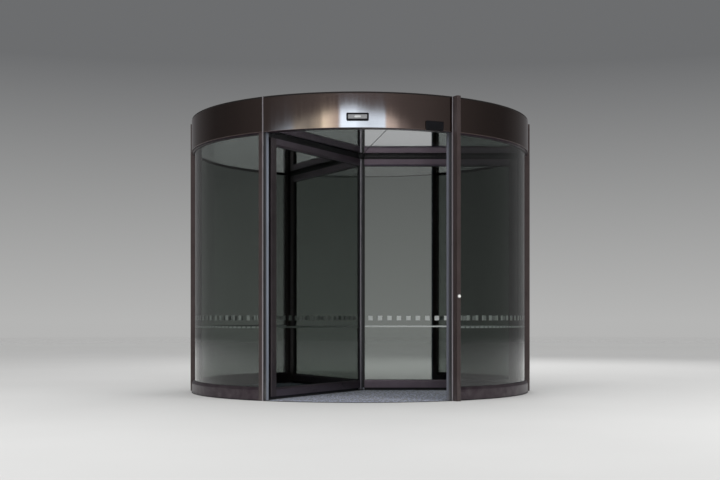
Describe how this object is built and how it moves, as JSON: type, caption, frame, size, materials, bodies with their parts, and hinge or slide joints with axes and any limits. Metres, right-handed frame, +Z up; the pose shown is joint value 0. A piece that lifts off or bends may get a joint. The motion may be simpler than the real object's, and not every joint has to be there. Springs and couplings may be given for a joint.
{
  "type": "three-wing automatic revolving door",
  "caption": "Automatic revolving door: glazed drum with bronze metal posts and round canopy, and a rotor of framed glass wings with brush seals on a centre shaft.",
  "frame": {"origin": "on the rotor axis at floor level, under the middle of the drum", "axes": "+Z up along the rotor axis; -Y towards the street; +X to the right, seen from the street, towards the right facade mullion"},
  "size_m": [3.18, 3.17, 2.5],
  "materials": {
    "bronze": "dark bronze anodised, satin, fine upright brushing",
    "edge_profile": "grey-blue satin profile",
    "shaft": "satin bronze-grey tube",
    "floor_metal": "dark worn brushed steel",
    "drive": "grey powder coat",
    "glass": "clear laminated glass with a green-grey tint",
    "brush": "black bristle seal",
    "mat": "ribbed entrance carpet, speckled grey-blue",
    "ceiling": "polished metal ceiling panels",
    "roof": "dark satin sheet",
    "sensor": "black plastic housing with a dark window",
    "button": "white push button"
  },
  "bodies": {
    "enclosure": {"floor_ring": "floor_metal", "floor_mat": "mat", "floor_bearing": "floor_metal", "post_front_left": "bronze", "post_front_right": "bronze", "post_rear_left": "bronze", "post_rear_right": "bronze", "edge_profiles": "edge_profile", "post_covers": "bronze", "mullion_left": "bronze", "mullion_right": "bronze", "base_rail_left": "bronze", "base_rail_right": "bronze", "top_rail_left": "bronze", "top_rail_right": "bronze", "glass_front_left": "glass", "glass_front_right": "glass", "glass_rear_left": "glass", "glass_rear_right": "glass", "fascia_front": "bronze", "fascia_rear": "bronze", "fascia_left": "bronze", "fascia_right": "bronze", "canopy_ring": "bronze", "ceiling_left": "ceiling", "ceiling_right": "ceiling", "roof_cover": "roof", "drive_unit": "drive", "motion_sensor_front": "sensor", "motion_sensor_rear": "sensor", "safety_sensors": "sensor", "access_button": "button"},
    "rotor": {"centre_shaft": "shaft", "wing_1_stiles": "bronze", "wing_1_rails": "bronze", "wing_1_glass": "glass", "wing_1_brushes": "brush", "wing_2_stiles": "bronze", "wing_2_rails": "bronze", "wing_2_glass": "glass", "wing_2_brushes": "brush", "wing_3_stiles": "bronze", "wing_3_rails": "bronze", "wing_3_glass": "glass", "wing_3_brushes": "brush"}
  },
  "joints": [
    {"name": "rotor_spin", "type": "hinge", "parent": "enclosure", "child": "rotor", "pos_m": [0, 0, 1.1], "axis": [0, 0, 1], "continuous": true}
  ]
}
